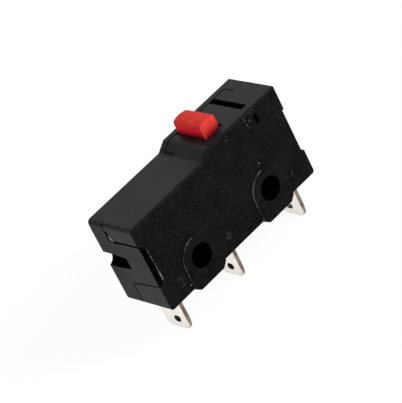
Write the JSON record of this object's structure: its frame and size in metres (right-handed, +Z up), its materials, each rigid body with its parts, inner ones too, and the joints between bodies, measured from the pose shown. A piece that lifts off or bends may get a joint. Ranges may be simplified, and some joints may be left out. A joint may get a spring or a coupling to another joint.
{
  "type": "micro switch",
  "caption": "Sub-miniature snap-action switch: stepped two-shell housing with through holes for screws, a sprung push button on top and solder blades underneath.",
  "frame": {"origin": "midway between the two mounting holes, on the line through their centres and on the middle plane of the case", "axes": "+X along the case towards the end with the plunger and the common terminal, +Y towards the back shell, +Z up towards the plunger"},
  "size_m": [0.0198, 0.0064, 0.0151],
  "materials": {
    "shell": "moulded, lightly textured",
    "button": "moulded",
    "terminal": "bright tin plate",
    "contact": "silver",
    "spring": "rolled copper alloy strip"
  },
  "bodies": {
    "housing": {"case": "shell", "cover": "shell", "common_terminal": "terminal", "normally_open_terminal": "terminal", "normally_closed_terminal": "terminal", "normally_open_contact": "contact", "normally_closed_contact": "contact"},
    "plunger": {"plunger": "button"},
    "blade": {"moving_blade": "spring", "moving_contact": "contact", "bow_spring": "spring"}
  },
  "joints": [
    {"name": "plunger_slide", "type": "slide", "parent": "housing", "child": "plunger", "axis": [0, 0, -1], "range_m": [0, 0.001], "stiffness_N_per_m": 1000, "springref_m": -0.0005, "deforming": ["moving_blade", "bow_spring"]},
    {"name": "blade_rock", "type": "hinge", "parent": "plunger", "child": "blade", "pos_m": [0.00283, 0, 0.00396], "axis": [0, 1, 0], "range_deg": [0, 3.02]}
  ],
  "couplings": [
    {"joint": "blade_rock", "follows": "plunger_slide", "rad_per_m": 52.7}
  ]
}
